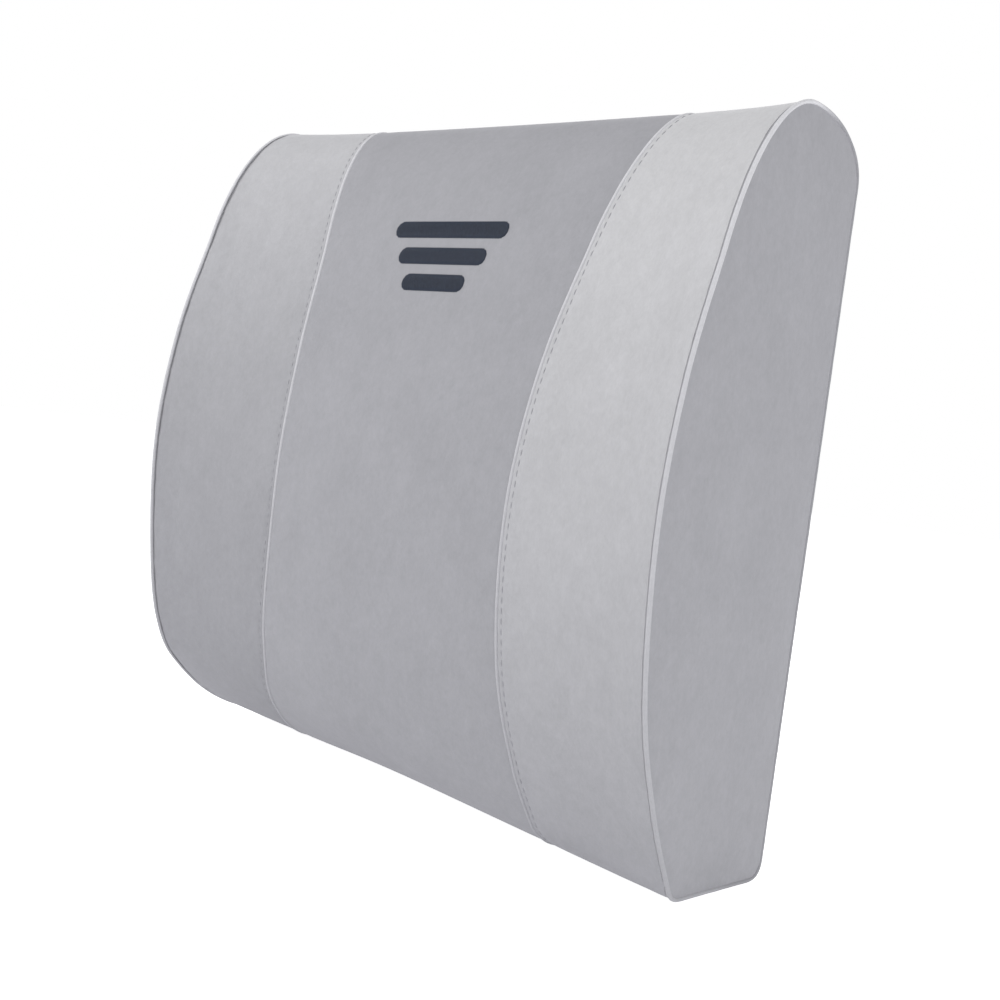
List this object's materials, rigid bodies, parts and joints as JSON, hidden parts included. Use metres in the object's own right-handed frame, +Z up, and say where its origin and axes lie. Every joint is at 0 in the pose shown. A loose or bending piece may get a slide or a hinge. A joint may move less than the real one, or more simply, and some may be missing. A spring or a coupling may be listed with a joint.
{
  "type": "lumbar support cushion",
  "caption": "D-section foam cushion for the lower back, with a scooped front, a zipped sewn cover and a buckled chair strap.",
  "frame": {"origin": "middle of the flat base that the cushion stands on, 22 mm in front of the back face", "axes": "+X across the cushion to the user's left when leaning on it, -Y towards the user's back, +Y towards the chair back, +Z up"},
  "size_m": [0.3346, 0.1262, 0.332],
  "materials": {
    "foam": "matte open-cell polyurethane foam",
    "velour_mid": "mid grey brushed velour, matte with a soft nap sheen",
    "velour_light": "light grey brushed velour, matte with a soft nap sheen",
    "back_cloth": "mid grey brushed velour, matte",
    "piping": "light grey velour over cord",
    "zip_tape": "grey woven polyester tape",
    "zip_coil": "satin grey nylon coil",
    "zip_metal": "satin grey die-cast metal",
    "webbing": "dark grey ribbed webbing",
    "buckle": "charcoal moulded acetal, fine texture",
    "thread": "dark polyester sewing thread",
    "emblem_thread": "dark slate satin-stitch embroidery"
  },
  "bodies": {
    "cushion": {"foam_core": "foam", "front_centre_panel": "velour_mid", "front_left_panel": "velour_light", "front_right_panel": "velour_light", "left_side_panel": "velour_mid", "right_side_panel": "velour_mid", "back_panel_upper": "back_cloth", "back_panel_lower": "back_cloth", "front_left_piping": "piping", "front_right_piping": "piping", "left_side_piping": "piping", "right_side_piping": "piping", "zip_tape_upper": "zip_tape", "zip_tape_lower": "zip_tape", "zip_coil_upper": "zip_coil", "zip_coil_lower": "zip_coil", "zip_stop_left": "zip_metal", "zip_stop_right": "zip_metal", "strap_left": "webbing", "strap_right": "webbing", "buckle_socket": "buckle", "anchor_stitch_left": "thread", "anchor_stitch_right": "thread", "emblem_bar_upper": "emblem_thread", "emblem_bar_middle": "emblem_thread", "emblem_bar_lower": "emblem_thread"},
    "zip_slider": {"zip_slider": "zip_metal"},
    "zip_pull": {"zip_pull_tab": "zip_metal"},
    "plug": {"buckle_plug": "buckle"},
    "plug_arm_upper": {"buckle_arm_upper": "buckle"},
    "plug_arm_lower": {"buckle_arm_lower": "buckle"}
  },
  "joints": [
    {"name": "zip_slide", "type": "slide", "parent": "cushion", "child": "zip_slider", "axis": [-1, 0, 0], "range_m": [0, 0.248]},
    {"name": "zip_pull_hinge", "type": "hinge", "parent": "zip_slider", "child": "zip_pull", "pos_m": [0.124, 0.0241, 0.038], "axis": [0, 0, -1], "range_deg": [0, 165]},
    {"name": "buckle_slide", "type": "slide", "parent": "cushion", "child": "plug", "axis": [1, 0, 0], "range_m": [0, 0.03], "deforming": ["strap_right", "buckle_arm_upper", "buckle_arm_lower"]},
    {"name": "arm_upper_pinch", "type": "hinge", "parent": "plug", "child": "plug_arm_upper", "pos_m": [-0.0003, 0.0275, 0.1738], "axis": [0, -1, 0], "range_deg": [0, 8]},
    {"name": "arm_lower_pinch", "type": "hinge", "parent": "plug", "child": "plug_arm_lower", "pos_m": [-0.0003, 0.0275, 0.1562], "axis": [0, -1, 0], "range_deg": [-8, 0]}
  ],
  "couplings": [
    {"joint": "arm_lower_pinch", "follows": "arm_upper_pinch", "ratio": -1}
  ]
}
